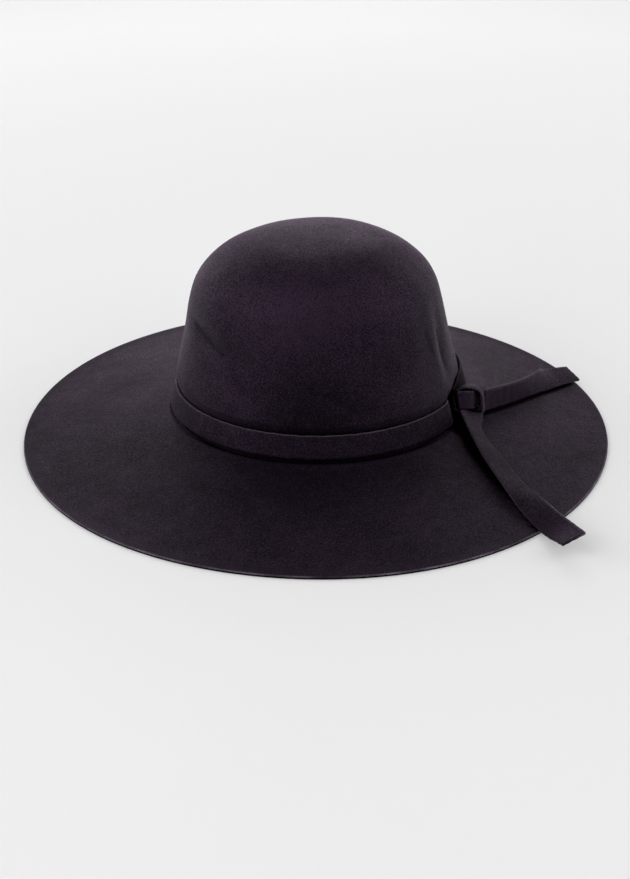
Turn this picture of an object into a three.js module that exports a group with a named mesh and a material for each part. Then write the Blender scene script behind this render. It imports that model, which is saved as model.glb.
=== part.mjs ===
// Capeline: a wide-brimmed floppy felt hat with a narrow felt band, knotted at the wearer's side.
// Millimetres, +Z up. The origin is on the crown's axis, on the surface that the brim rests on.
// The body is one blocked piece of felt, hollow under the crown. The band, the knot and the two tails
// are cut from one narrow strip of thinner felt.
import * as THREE from 'three';

// Driving dimensions
const FELT_THICKNESS = 2.0;
const STRIP_THICKNESS = 1.8;
const STRIP_WIDTH = 16.5;
const BRIM_RADIUS = 201.8;
const BREAK_RADIUS = 102.8; // where the crown's wall turns into the brim, across the hat
const BREAK_HEIGHT = 19.8;
const CROWN_DEPTH_RATIO = 0.925; // the crown's size from front to back, as a share of its size across
const SEAT_GAP = 0.3; // left between pieces that touch

// Brim: lies flat at its rim, and rises to the crown in a shallow cone that steepens a little
const BRIM_RISE_POWER = 1.2;
const FLAT_RIM_SHARE = 0.06;
const RIM_WAVE = 1.0; // the hand-cut rim stands out and in by this at the front
const RIM_WAVE_AZIMUTH = -102; // degrees, where it stands in furthest

// Resolution
const SEGMENTS = 72;
const BRIM_STEPS = 6;
const ROWS_PER_SECTION = 2;

// Crown, from its top down to the break. shift moves a section across the hat, towards +X.
const crownSections = [
  { height: 141.5, radius: 0.0, shift: 1.5 },
  { height: 140.7, radius: 22.0, shift: 1.8 },
  { height: 138.0, radius: 41.2, shift: 1.8 },
  { height: 133.0, radius: 54.6, shift: 1.0 },
  { height: 126.5, radius: 65.4, shift: 0.2 },
  { height: 118.0, radius: 74.5, shift: 0.0 },
  { height: 108.0, radius: 80.8, shift: -0.4 },
  { height: 95.0, radius: 84.9, shift: -0.4 },
  { height: 80.0, radius: 88.1, shift: 0.2 },
  { height: 65.0, radius: 91.5, shift: 0.3 },
  { height: 50.0, radius: 95.5, shift: 0.7 },
  { height: 42.0, radius: 97.1, shift: 0.8 },
];
// Under the band the wall is drawn in, and meets the brim in a tight crease.
const bandedSections = [
  { height: 37.6, radius: 96.3, shift: 0.9 },
  { height: 36.4, radius: 95.5, shift: 0.9 },
  { height: 28.0, radius: 97.8, shift: 0.9 },
  { height: 22.0, radius: 99.7, shift: 0.9 },
  { height: 20.0, radius: 100.3, shift: 0.9 },
];

// Dents pressed into the crown, each a soft hollow. azimuth is in degrees from +X, along and across are the
// hollow's half sizes in mm, lean is its angle above the horizontal, and a negative depth is a bulge.
const dents = [
  { azimuth: -146, height: 84, along: 17, across: 4.5, lean: -12, depth: 2.4 }, // crease, front left
  { azimuth: -124, height: 68, along: 15, across: 6.0, lean: -62, depth: 1.3 }, // where that crease dies away
  { azimuth: -21, height: 72, along: 15, across: 4.5, lean: 88, depth: 2.2 }, // groove above the knot
  { azimuth: -29, height: 78, along: 22, across: 4.5, lean: 88, depth: -1.2 }, // ridge beside that groove
  { azimuth: -80, height: 57, along: 20, across: 7.5, lean: -33, depth: 1.4 }, // slanting hollow, low in front
  { azimuth: -116, height: 111, along: 13, across: 9.0, lean: 20, depth: -0.8 }, // bulge, high at the front left
];
const DENT_FREE_HEIGHT = 38; // the band holds the wall below this
const DENT_FADE = 10;

// Band: its mid surface, as the crown's sections
const BAND_TOP = { height: 36.1, radius: 96.95 };
const BAND_BOTTOM = { height: 20.5, radius: 101.4 };
const BAND_SHIFT = 0.9;
const BAND_FRONT_END = -20; // degrees, where its front end goes into the knot
const BAND_REAR_END = -6;

// Knot: a loop of strip with its mouth to the front, round a folded core
const MOUTH_FOOT_Y = -28; // the loop's near edge where it stands on the brim
const MOUTH_LEAN = 0.41; // how far that edge leans back for each mm up
const LOOP_DEPTH = 15.3; // from the loop's near edge to its far edge
const LOOP_FAR_SQUEEZE = 0.71; // the far edge's height, as a share of the near edge's
const LOOP_FAR_START_X = 101.7; // the far edge starts further out, where the band bulges
// x across the hat, rise above the brim, both on the strip's mid surface, from the band round to the foot
const loopPath = [
  { x: 95.6, rise: 16.0 },
  { x: 99.0, rise: 17.7 },
  { x: 103.2, rise: 18.4 },
  { x: 107.4, rise: 18.6 },
  { x: 110.8, rise: 17.6 },
  { x: 112.9, rise: 14.9 },
  { x: 113.7, rise: 11.3 },
  { x: 113.8, rise: 7.5 },
  { x: 113.2, rise: 4.4 },
  { x: 111.2, rise: 2.0 },
  { x: 108.4, rise: 1.3 },
  { x: 105.0, rise: 1.3 },
];
const FOOT_RISE = STRIP_THICKNESS / 2 + SEAT_GAP;
const CORE_HEIGHT = 28.4; // of its middle
// lean is how far it leans to the right for each mm up, against the wall at first
const corePath = [
  { x: 97.0, y: -23.2, width: 13.0, lean: -0.15 },
  { x: 99.6, y: -23.0, width: 13.0, lean: -0.05 },
  { x: 102.2, y: -22.9, width: 13.0, lean: 0 },
  { x: 104.6, y: -22.7, width: 13.0, lean: 0 },
  { x: 106.3, y: -22.1, width: 12.6, lean: 0 },
  { x: 107.0, y: -20.7, width: 12.2, lean: 0 },
  { x: 106.3, y: -19.2, width: 11.6, lean: 0 },
  { x: 104.6, y: -18.7, width: 11.2, lean: 0 },
  { x: 101.6, y: -18.7, width: 11.0, lean: 0 },
];

// Tails: lift is the strip's middle above the brim, and tilt turns it about its length, positive with the edge
// on the right of its run going up. At 90 degrees either way the strip stands on edge.
const frontTailPath = [
  { x: 105.1, y: -29.4, lift: 5.3, tilt: 37 },
  { x: 106.4, y: -46.0, lift: 4.0, tilt: 25 },
  { x: 115.6, y: -80.0, lift: 6.5, tilt: 5 },
  { x: 126.0, y: -113.0, lift: 5.5, tilt: -9 },
  { x: 140.3, y: -147.0, lift: 5.3, tilt: -28 },
  { x: 151.3, y: -177.5, lift: 11.3, tilt: -10 },
];
const rearTailPath = [
  { x: 116.0, y: -17.2, lift: 10.0, tilt: -92 },
  { x: 132.6, y: 0.1, lift: 9.9, tilt: -99 },
  { x: 148.0, y: 17.8, lift: 9.7, tilt: -94 },
  { x: 160.6, y: 35.3, lift: 9.0, tilt: -74 },
  { x: 172.4, y: 50.7, lift: 7.7, tilt: -33 },
  { x: 189.1, y: 62.7, lift: 7.1, tilt: -17 },
];
const TAIL_STEPS = 16;

const felt = (color, roughness) => new THREE.MeshStandardMaterial({ color, roughness, metalness: 0 });
const bodyFelt = felt(0x1d191f, 0.95);
const stripFelt = felt(0x1a161c, 0.95);

const radians = THREE.MathUtils.degToRad;
const UP = new THREE.Vector3(0, 0, 1);

// The crown's oval in polar form: its radius at an azimuth, as a share of its radius across the hat.
function ovalShare(azimuth) {
  return 1 / Math.hypot(Math.cos(azimuth), Math.sin(azimuth) / CROWN_DEPTH_RATIO);
}

// The rim is a circle with a low hand-cut wave of four swells, which dies away to the back.
function rimRadius(azimuth) {
  const swell = -Math.cos(4 * (azimuth - radians(RIM_WAVE_AZIMUTH)));
  return BRIM_RADIUS + RIM_WAVE * swell * (1 - Math.sin(azimuth)) / 2;
}

// Height of the brim's upper face, by its share of the way from the break, 0, to the rim, 1.
function brimHeightAt(share) {
  const climb = Math.max(0, (1 - Math.max(0, share) - FLAT_RIM_SHARE) / (1 - FLAT_RIM_SHARE));
  return FELT_THICKNESS + (BREAK_HEIGHT - FELT_THICKNESS) * climb ** BRIM_RISE_POWER;
}

function brimHeight(x, y) {
  const azimuth = Math.atan2(y, x);
  const inner = BREAK_RADIUS * ovalShare(azimuth);
  return brimHeightAt((Math.hypot(x, y) - inner) / (rimRadius(azimuth) - inner));
}

// How far the dents push the crown's wall in, at an azimuth and a height.
function dentDepth(azimuth, height, radius) {
  let depth = 0;
  for (const dent of dents) {
    const turn = azimuth - radians(dent.azimuth);
    const around = radius * Math.atan2(Math.sin(turn), Math.cos(turn));
    const rise = height - dent.height;
    const lean = radians(dent.lean);
    const along = (around * Math.cos(lean) + rise * Math.sin(lean)) / dent.along;
    const across = (rise * Math.cos(lean) - around * Math.sin(lean)) / dent.across;
    depth += dent.depth * Math.exp(-(along * along + across * across) / 2);
  }
  return depth * THREE.MathUtils.smoothstep(height, DENT_FREE_HEIGHT, DENT_FREE_HEIGHT + DENT_FADE);
}

// A ring of the crown at one section, pulled in by its dents.
function crownRing({ height, radius, shift }) {
  const ring = [];
  for (let i = 0; i < SEGMENTS; i++) {
    const azimuth = (2 * Math.PI * i) / SEGMENTS;
    const reach = radius * ovalShare(azimuth) - dentDepth(azimuth, height, radius);
    ring.push(new THREE.Vector3(shift + reach * Math.cos(azimuth), reach * Math.sin(azimuth), height));
  }
  return ring;
}

// A ring of the brim's upper face, at a share of the way from the break to the rim.
function brimRing(share) {
  const ring = [];
  for (let i = 0; i < SEGMENTS; i++) {
    const azimuth = (2 * Math.PI * i) / SEGMENTS;
    const reach = THREE.MathUtils.lerp(BREAK_RADIUS * ovalShare(azimuth), rimRadius(azimuth), share);
    const shift = BAND_SHIFT * (1 - share);
    ring.push(new THREE.Vector3(shift + reach * Math.cos(azimuth), reach * Math.sin(azimuth), brimHeightAt(share)));
  }
  return ring;
}

// Sections between those of the table, on a smooth curve through them.
function smoothSections(sections, perSection) {
  const points = sections.map((s) => new THREE.Vector3(s.radius, s.shift, s.height));
  const curve = new THREE.CatmullRomCurve3(points, false, 'centripetal');
  const count = (sections.length - 1) * perSection;
  const result = [];
  for (let i = 0; i <= count; i++) {
    const point = curve.getPoint(i / count);
    result.push({ radius: point.x, shift: point.y, height: point.z });
  }
  return result;
}

// The same rings moved in by the felt's thickness, square to the surface. Rings of the flat rim go straight down.
function innerRings(rings, top, flatFrom) {
  const last = rings.length - 1;
  return rings.map((ring, row) => ring.map((point, i) => {
    if (row >= flatFrom) return point.clone().addScaledVector(UP, -FELT_THICKNESS);
    const above = row > 0 ? rings[row - 1][i] : top;
    const below = rings[Math.min(row + 1, last)][i];
    const next = ring[(i + 1) % SEGMENTS];
    const before = ring[(i + SEGMENTS - 1) % SEGMENTS];
    const downhill = new THREE.Vector3().subVectors(below, above);
    const round = new THREE.Vector3().subVectors(next, before);
    const normal = downhill.cross(round).normalize();
    return point.clone().addScaledVector(normal, -FELT_THICKNESS);
  }));
}

// A closed mesh from a list of points and a list of triangles, with its faces turned outwards.
function closedMesh(points, triangles) {
  let volume = 0;
  for (const [a, b, c] of triangles) {
    volume += points[a].dot(new THREE.Vector3().crossVectors(points[b], points[c])) / 6;
  }
  const outward = volume > 0 ? triangles : triangles.map(([a, b, c]) => [a, c, b]);
  const geometry = new THREE.BufferGeometry().setFromPoints(points);
  geometry.setIndex(outward.flat());
  geometry.computeVertexNormals();
  return geometry;
}

// A skin over a run of closed rings, shut at both ends by a point on the axis.
function ringSkin(firstPole, rings, lastPole) {
  const size = rings[0].length;
  const points = [firstPole, ...rings.flat(), lastPole];
  const at = (row, i) => 1 + row * size + (i % size);
  const end = points.length - 1;
  const triangles = [];
  for (let i = 0; i < size; i++) {
    triangles.push([0, at(0, i), at(0, i + 1)]);
    triangles.push([end, at(rings.length - 1, i + 1), at(rings.length - 1, i)]);
    for (let row = 0; row < rings.length - 1; row++) {
      triangles.push([at(row, i), at(row + 1, i), at(row + 1, i + 1)]);
      triangles.push([at(row, i), at(row + 1, i + 1), at(row, i + 1)]);
    }
  }
  return closedMesh(points, triangles);
}

// Crown and brim: the outer face from the top of the crown to the rim, then the inner face back up.
function feltBody() {
  const sections = [...smoothSections(crownSections, ROWS_PER_SECTION).slice(1), ...bandedSections];
  const shares = Array.from({ length: BRIM_STEPS + 1 }, (_, i) => (i / BRIM_STEPS) * (1 - FLAT_RIM_SHARE));
  const outer = [...sections.map(crownRing), ...[...shares, 1].map(brimRing)];
  const { height, shift } = crownSections[0];
  const top = new THREE.Vector3(shift, 0, height);
  const inner = innerRings(outer, top, outer.length - 2);
  const innerTop = top.clone().addScaledVector(UP, -FELT_THICKNESS);
  return ringSkin(top, [...outer, ...inner.reverse()], innerTop);
}

// A length of strip: a flat rectangle carried along stations. Each station has its centre, and the vector from
// the centre to one edge. The strip's thickness is square to its run and to that vector.
function stripBody(stations) {
  const last = stations.length - 1;
  const points = stations.flatMap(({ centre, edge }, i) => {
    const run = new THREE.Vector3().subVectors(
      stations[Math.min(i + 1, last)].centre,
      stations[Math.max(i - 1, 0)].centre,
    );
    const half = new THREE.Vector3().crossVectors(run, edge).setLength(STRIP_THICKNESS / 2);
    const corner = (side, face) => centre.clone().addScaledVector(edge, side).addScaledVector(half, face);
    return [corner(1, 1), corner(1, -1), corner(-1, -1), corner(-1, 1)];
  });
  const triangles = [[0, 2, 1], [0, 3, 2]];
  const end = 4 * last;
  triangles.push([end, end + 1, end + 2], [end, end + 2, end + 3]);
  for (let i = 0; i < last; i++) {
    for (let side = 0; side < 4; side++) {
      const a = 4 * i + side;
      const b = 4 * i + ((side + 1) % 4);
      triangles.push([a, b, b + 4], [a, b + 4, a + 4]);
    }
  }
  return closedMesh(points, triangles);
}

// The band lies on the drawn-in wall, and is open behind the knot, where its two ends go in.
function hatBand() {
  const onOval = ({ height, radius }, azimuth) => {
    const reach = radius * ovalShare(azimuth);
    return new THREE.Vector3(BAND_SHIFT + reach * Math.cos(azimuth), reach * Math.sin(azimuth), height);
  };
  const start = radians(BAND_REAR_END);
  const sweep = radians(360 + BAND_FRONT_END) - start;
  return stripBody(Array.from({ length: SEGMENTS + 1 }, (_, i) => {
    const azimuth = start + (sweep * i) / SEGMENTS;
    const top = onOval(BAND_TOP, azimuth);
    const bottom = onOval(BAND_BOTTOM, azimuth);
    return {
      centre: new THREE.Vector3().lerpVectors(top, bottom, 0.5),
      edge: new THREE.Vector3().subVectors(top, bottom).multiplyScalar(0.5),
    };
  }));
}

// The loop stands on the brim. Its near edge leans back, and its far edge is pressed lower.
function knotLoop() {
  const startX = loopPath[0].x;
  const widestX = Math.max(...loopPath.map(({ x }) => x));
  return stripBody(loopPath.map(({ x, rise }) => {
    const near = new THREE.Vector3(x, MOUTH_FOOT_Y + MOUTH_LEAN * rise, brimHeight(x, MOUTH_FOOT_Y) + rise);
    const farX = THREE.MathUtils.mapLinear(x, startX, widestX, LOOP_FAR_START_X, widestX);
    const farY = near.y + LOOP_DEPTH;
    const farRise = FOOT_RISE + (rise - FOOT_RISE) * LOOP_FAR_SQUEEZE;
    const far = new THREE.Vector3(farX, farY, brimHeight(farX, farY) + farRise);
    return {
      centre: new THREE.Vector3().lerpVectors(near, far, 0.5),
      edge: new THREE.Vector3().subVectors(near, far).multiplyScalar(0.5),
    };
  }));
}

// The core is the strip folded back on itself inside the loop, with its flat face to the mouth.
function knotCore() {
  return stripBody(corePath.map(({ x, y, width, lean }) => ({
    centre: new THREE.Vector3(x, y, CORE_HEIGHT),
    edge: new THREE.Vector3(lean, MOUTH_LEAN, 1).setLength(width / 2),
  })));
}

// A tail runs out over the brim along its table, twisting as it goes.
function tail(path) {
  const curve = new THREE.CatmullRomCurve3(
    path.map(({ x, y, lift }) => new THREE.Vector3(x, y, brimHeight(x, y) + lift)), false, 'centripetal',
  );
  const tilts = new THREE.SplineCurve(path.map(({ tilt }, i) => new THREE.Vector2(i, tilt)));
  return stripBody(Array.from({ length: TAIL_STEPS + 1 }, (_, i) => {
    const share = i / TAIL_STEPS;
    const run = curve.getTangent(share);
    const side = new THREE.Vector3().crossVectors(run, UP).setLength(STRIP_WIDTH / 2);
    const turn = radians(tilts.getPoint(share).y);
    return { centre: curve.getPoint(share), edge: side.applyAxisAngle(run, -turn) };
  }));
}

function piece(name, geometry, material) {
  const mesh = new THREE.Mesh(geometry, material);
  mesh.name = name;
  return mesh;
}

const capeline = new THREE.Group();
capeline.add(
  piece('felt_body', feltBody(), bodyFelt),
  piece('hat_band', hatBand(), stripFelt),
  piece('knot_loop', knotLoop(), stripFelt),
  piece('knot_core', knotCore(), stripFelt),
  piece('tail_front', tail(frontTailPath), stripFelt),
  piece('tail_rear', tail(rearTailPath), stripFelt),
);

export default capeline;
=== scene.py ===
"""A black wool-felt capeline on a pale floor: the felt, its band, the knot and its tails, on the CAD frame.

Shapes are surfaces worked out with numpy, as functions of two parameters on a grid. Lengths in the tables
are millimetres, as a hatter would give them, and become metres where the meshes are made. Angles are in
degrees.
"""
import math
from collections import namedtuple

import bpy
import numpy as np
from bpy.props import FloatProperty, FloatVectorProperty, PointerProperty
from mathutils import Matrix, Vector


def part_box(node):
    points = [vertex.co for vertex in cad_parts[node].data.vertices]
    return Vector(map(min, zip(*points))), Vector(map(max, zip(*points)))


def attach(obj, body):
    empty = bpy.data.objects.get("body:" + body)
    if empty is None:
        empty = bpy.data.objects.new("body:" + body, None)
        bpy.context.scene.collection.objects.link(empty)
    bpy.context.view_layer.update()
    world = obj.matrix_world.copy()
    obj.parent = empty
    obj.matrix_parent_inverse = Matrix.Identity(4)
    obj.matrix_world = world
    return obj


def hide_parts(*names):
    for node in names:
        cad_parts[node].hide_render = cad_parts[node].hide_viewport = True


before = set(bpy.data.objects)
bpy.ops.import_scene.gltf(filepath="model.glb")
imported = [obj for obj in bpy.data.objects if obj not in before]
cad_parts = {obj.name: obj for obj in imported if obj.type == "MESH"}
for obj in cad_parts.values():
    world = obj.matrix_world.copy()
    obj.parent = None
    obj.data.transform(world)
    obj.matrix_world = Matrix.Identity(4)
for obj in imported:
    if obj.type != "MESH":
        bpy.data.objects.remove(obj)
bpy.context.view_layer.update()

bl_info = {
    "name": "Felt Capeline",
    "version": (1, 0, 0),
    "blender": (4, 5, 0),
    "location": "View3D > Sidebar > Capeline",
    "description": "Builds a wide-brimmed felt hat with a knotted felt band, and a soft studio round it",
    "category": "Object",
}

MM = 0.001
BODY_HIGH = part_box("felt_body")[1]

# Hat body
CROWN_DEPTH_RATIO = 0.925  # the crown's size from front to back, as a share of its size across
BREAK_RADIUS = 102.8  # where the wall turns into the brim
BREAK_HEIGHT = 19.8
FOOT_RADIUS = 98.6  # where the wall really ends, in a valley that the band hides
VALLEY_DEPTH = 3.8
VALLEY_REACH = 2.6
BRIM_RISE_POWER = 1.2
BRIM_ROW_POWER = 1.5  # draws the brim's rows together at its foot
FLAT_RIM_SHARE = 0.06
FLAT_RIM_ROWS = [0.34, 0.67, 0.9, 1.0]  # the flat rim's rows, by their share of its width
RIM_WAVE = 1.0
RIM_WAVE_AZIMUTH = -102.0
RIM_BULGE = 0.35  # how far the rounded cut edge stands out
SEAT_GAP = 0.3  # between the knot and the brim

Section = namedtuple("Section", "height radius shift")
CROWN_SECTIONS = [
    Section(141.5, 0.0, 1.5),
    Section(140.7, 22.0, 1.8),
    Section(138.0, 41.2, 1.8),
    Section(133.0, 54.6, 1.0),
    Section(126.5, 65.4, 0.2),
    Section(118.0, 74.5, 0.0),
    Section(108.0, 80.8, -0.4),
    Section(95.0, 84.9, -0.4),
    Section(80.0, 88.1, 0.2),
    Section(65.0, 91.5, 0.3),
    Section(50.0, 95.5, 0.7),
    Section(42.0, 97.1, 0.8),
]
BANDED_SECTIONS = [
    Section(37.6, 96.3, 0.9),
    Section(36.4, 95.4, 0.9),
    Section(28.0, 95.6, 0.9),
    Section(22.0, 95.9, 0.9),
    Section(18.0, 96.6, 0.9),
    Section(16.7, 97.6, 0.9),
]

# Dents in the crown. azimuth is from +X, along and across are half sizes, lean is the angle above the
# horizontal, and a negative depth is a bulge.
Dent = namedtuple("Dent", "azimuth height along across lean depth")
CROWN_DENTS = [
    Dent(-146, 84, 17, 4.5, -12, 2.4),  # crease, front left
    Dent(-124, 68, 15, 6.0, -62, 1.3),  # where that crease dies away
    Dent(-21, 72, 15, 4.5, 88, 1.6),  # groove above the knot
    Dent(-29, 78, 22, 4.5, 88, -0.7),  # ridge beside that groove
    Dent(-80, 57, 20, 7.5, -33, 1.4),  # slanting hollow, low in front
    Dent(-116, 111, 13, 9.0, 20, -0.8),  # bulge, high at the front left
]
# Sharp creases in the crown, each a groove along a path of azimuths and heights, with painted shade along
# it.
Crease = namedtuple("Crease", "depth width darkness path")
CREASES = [
    Crease(0.35, 1.4, 0.44, [(-159, 89), (-151, 84.5), (-143.5, 80.5), (-136, 77.5)]),
    Crease(0.3, 2.4, 0.16, [(-136, 77.5), (-130, 72), (-123, 58)]),
    Crease(0.4, 2.0, 0.36, [(-22.4, 84), (-21.4, 72), (-20.8, 58)]),
    Crease(0.2, 1.9, 0.22, [(-33, 88), (-31, 72), (-29, 58)]),
    Crease(0.25, 1.8, 0.25, [(-93, 66), (-82, 58), (-71, 48)]),
]
DENT_FREE_HEIGHT = 38  # no dent below this height
DENT_FADE = 10
KNOT_PINCH = Dent(-12, 26, 10, 9.0, 90, 8.5)  # where the knot draws the wall in, under the band too

# Unevenness, as soft noise. depth is a share of the undulation on the crown and the brim, of the
# thickness or the lightness where the name says so, and millimetres at a frayed edge. A strip's own seed
# is added to the seed here.
Noise = namedtuple("Noise", "depth wavelength seed")
CROWN_SWELL = Noise(1.0, 46, 5)
BRIM_SWELL = Noise(1.3, 60, 11)
RIM_FRAY = Noise(0.12, 4.0, 3)
# painted highlight, in flecks along the rim's raw edge
RIM_LIGHT_FLECKS = Noise(0.5, 12.0, 17)
SIDE_FRAY = Noise(0.16, 5.0, 0)
STRIP_THICKNESS_SWELL = Noise(0.06, 11.0, 2)
END_FRAY = Noise(0.35, 3.5, 7)
CROWN_SWELL_FROM = (40, 60)  # heights between which the crown's swells set in, clear of the band
BRIM_SWELL_FROM = (106, 125)  # radii between which the brim's swells set in
BRIM_SWELL_TO = (165, 190)  # and die away
NOISE_WAVES = 14
NOISE_SPREAD = (0.7, 1.5)  # the waves' lengths, as shares of the one given
NOISE_PEAK = 1.8  # the sum's usual peak, in roots of the number of waves
RIM_FRAY_LEVEL = 40  # the height at which the rim's fray is read from its noise
SIDE_FRAY_APART = 50  # how far apart a strip's two sides read theirs

# Band, by its mid surface
BAND_TOP = Section(36.1, 96.95, 0.9)
BAND_BOTTOM = Section(20.5, 101.4, 0.9)
BAND_FRONT_END = -23.5
BAND_TUCK = 1.5  # how far the band's front end turns in behind the knot
BAND_TUCK_SPAN = 5
BAND_REAR_END = -11.0
# How the band leaves the wall for the knot: its lift and its way out, over this span from its rear end.
BAND_RISE_SPAN = 49.0
BAND_LIFT = [-0.5, 2.3, 5.2, 7.8, 8.3, 4.8, 1.5, 0.0]
BAND_OUT = [-2.8, -0.8, 1.9, 2.7, 1.6, 0.9, 0.3, 0.0]

# Knot. The loop's path is that of its near edge, round the mouth.
MOUTH_FOOT_Y = -28.0
MOUTH_LEAN = 0.41  # how far the mouth leans back for each millimetre of height
LOOP_DEPTH = 15.3  # from the near edge back to the far one
LOOP_FAR_SQUEEZE = 0.71  # the far edge's rise over its foot, as a share of the near one's
LOOP_FAR_START_X = 101.7
CORE_HEIGHT = 28.4  # of the folded core's middle over the floor
LoopPoint = namedtuple("LoopPoint", "x rise")
LOOP_PATH = [
    LoopPoint(95.6, 16.0),
    LoopPoint(99.0, 17.7),
    LoopPoint(103.2, 18.4),
    LoopPoint(107.4, 18.6),
    LoopPoint(110.8, 17.6),
    LoopPoint(112.9, 14.9),
    LoopPoint(113.7, 11.3),
    LoopPoint(113.8, 7.5),
    LoopPoint(113.2, 4.4),
    LoopPoint(111.2, 2.0),
    LoopPoint(108.4, 1.3),
    LoopPoint(105.0, 1.3),
]
CorePoint = namedtuple("CorePoint", "x y width lean")
CORE_PATH = [
    CorePoint(97.0, -23.2, 13.0, -0.15),
    CorePoint(99.6, -23.0, 13.0, -0.05),
    CorePoint(102.2, -22.9, 13.0, 0.0),
    CorePoint(104.6, -22.7, 13.0, 0.0),
    CorePoint(106.3, -22.1, 12.6, 0.0),
    CorePoint(107.0, -20.7, 12.2, 0.0),
    CorePoint(106.3, -19.2, 11.6, 0.0),
    CorePoint(104.6, -18.7, 11.2, 0.0),
    CorePoint(101.6, -18.7, 11.0, 0.0),
    CorePoint(99.9, -17.6, 11.0, 0.0),
    CorePoint(101.6, -16.4, 11.4, 0.0),
    CorePoint(105.6, -15.9, 12.0, 0.0),
    CorePoint(109.4, -15.6, 12.4, 0.0),
    CorePoint(111.7, -15.0, 12.4, 0.0),
]

# Tails. lift is the strip's middle above the brim, and tilt turns it about its length.
TailPoint = namedtuple("TailPoint", "x y lift tilt")
FRONT_TAIL = [
    TailPoint(105.1, -30.4, 4.7, 20),
    TailPoint(104.2, -45.7, 5.6, 39),
    TailPoint(114.1, -80.6, 5.1, 20),
    TailPoint(125.2, -112.8, 6.2, 8),
    TailPoint(140.6, -148.1, 6.6, -41),
    TailPoint(150.7, -180.4, 12.9, -19),
]
REAR_TAIL = [
    TailPoint(115.2, -18.1, 10.0, -92),
    TailPoint(132.6, 0.1, 9.9, -99),
    TailPoint(148.0, 17.8, 9.7, -94),
    TailPoint(160.6, 35.3, 9.0, -74),
    TailPoint(172.4, 50.7, 7.7, -33),
    TailPoint(189.1, 62.7, 7.1, -17),
]

# Stretches of the strip. rows is how many sections each has, and seed and fibres set its unevenness and its
# fuzz. slant skews the first end, and ripple adds slanting wrinkles near it. The edge and end lights are
# how light the raw edges at its left and right, and its two ends, are: partly their own lighter fibres,
# partly a painted highlight. dark and tone run from the first end to the last: dark is painted shade, how
# far the light is shut off, and tone is partly how the wool's pile lies and partly painted light and shade.
Strip = namedtuple(
    "Strip", "name node held rows seed fibres fray slant ripple light_edges light_ends dark tone")
BAND_STRIP = Strip(
    name="band", node="hat_band", held="stretched", rows=640, seed=21, fibres=4000,
    fray=SIDE_FRAY.depth, slant=0.0, ripple=0.0, light_edges=(0.0, 0.36), light_ends=(0.0, 0.0),
    dark=[0.75, *[0.0] * 13], tone=[-0.4, -0.2, -0.2, -0.2, 0.0, -0.45],
)
LOOP_STRIP = Strip(
    name="loop", node="knot_loop", held="folded", rows=140, seed=31, fibres=700,
    fray=0.1, slant=0.0, ripple=0.0, light_edges=(0.4, 0.4), light_ends=(1.0, 1.0),
    dark=[0.6, 0.15, 0.0, 0.0, 0.0, 0.0, 0.9, 1.0], tone=[-0.4, -0.4, -0.2, 0.1],
)
CORE_STRIP = Strip(
    name="folded_core", node="knot_core", held="folded", rows=170, seed=41, fibres=500,
    fray=0.1, slant=0.0, ripple=0.0, light_edges=(0.5, 0.5), light_ends=(0.0, 0.0),
    dark=[0.0, 0.0], tone=[0.3, 0.5, 0.35],
)
FRONT_STRIP = Strip(
    name="front_tail", node="tail_front", held="laid", rows=300, seed=51, fibres=2500,
    fray=SIDE_FRAY.depth, slant=2.5, ripple=0.0, light_edges=(0.7, 0.15), light_ends=(0.2, 0.0),
    dark=[0.0, 0.0], tone=[-0.1, -0.5, -0.47, -0.3, 0.1, 0.0],
)
REAR_STRIP = Strip(
    name="rear_tail", node="tail_rear", held="laid", rows=300, seed=61, fibres=2000,
    fray=SIDE_FRAY.depth, slant=1.8, ripple=0.08, light_edges=(0.14, 0.14), light_ends=(0.1, 0.7),
    dark=[0.0, 0.0], tone=[0.4, 0.4, 0.3, 0.0, -0.05, 0.0],
)
SLANT_REACH = 6  # how far into the strip the skew of its end is felt
RIPPLE_FROM = (4, 14)  # lengths between which the wrinkles set in
RIPPLE_TO = (26, 44)  # and die away
RIPPLE_LENGTH = 8.5
RIPPLE_LEAN = 0.45
CORNER_SHARE = 0.42  # radius of the strip's rounded edge, as a share of its thickness
EDGE_FLATNESS = 0.45  # how much squarer than a half round that edge is
FACE_STEPS = 13
ROUND_STEPS = 7
# The rings that close an end: their size, how far out they stand, and how much of the fray they take.
EndRing = namedtuple("EndRing", "size out frayed")
END_RINGS = [EndRing(0.995, 0.22, 0.5), EndRing(0.965, 0.42, 1.0), EndRing(0.9, 0.5, 1.0)]

# Fibres
BODY_FIBRES = 15000
BODY_FUZZ_SEED = 7
STRIP_FUZZ_SEED = 100  # added to the strip's own
EDGE_FIBRES = 5  # how many times more of them a wholly light raw edge has
FIBRE_LIFT = (0.3, 0.95)  # how steeply they stand, as a sine
FIBRE_LENGTH = (0.35, 1.05)
FIBRE_RADIUS = 0.035
FIBRE_BEND = 0.35
FIBRE_RINGS = [(0.0, 1.0), (0.5, 0.7)]  # shares of the length, and of the radius there

# Painted shadows: places that the strip shuts the light off from, darkened in the felt's colour. reach is
# how far the painted shadow goes from the line, and fade how softly it ends.
Shadow = namedtuple("Shadow", "reach fade line")
LOOP_SHADOW = Shadow(7.5, 2.0, [(99.0, -21.0), (106.5, -21.0)])
GAP_SHADOW = Shadow(3.5, 3.0, [(96.0, -20.0), (91.5, -44.0), (97.0, -50.0)])
LIFTED_BAND_SHADOW = Shadow(2.2, 1.6, [(98.5, 12.0), (100.6, 27.0), (102.5, 38.0), (104.0, 46.0)])
FRONT_TAIL_SHADOW = Shadow(3.9, 2.0, [
    (98.0, -26.0), (98.0, -46.0), (103.4, -70.5), (110.4, -87.5), (118.4, -103.5), (128.4, -122.5),
    (137.4, -148.5),
])
REAR_TAIL_SHADOW = Shadow(1.4, 3.2, [
    (115.2, -18.1), (132.6, 0.1), (148.0, 17.8), (160.6, 32.0), (170.0, 42.0), (180.0, 53.0), (188.0, 61.0),
])
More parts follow.
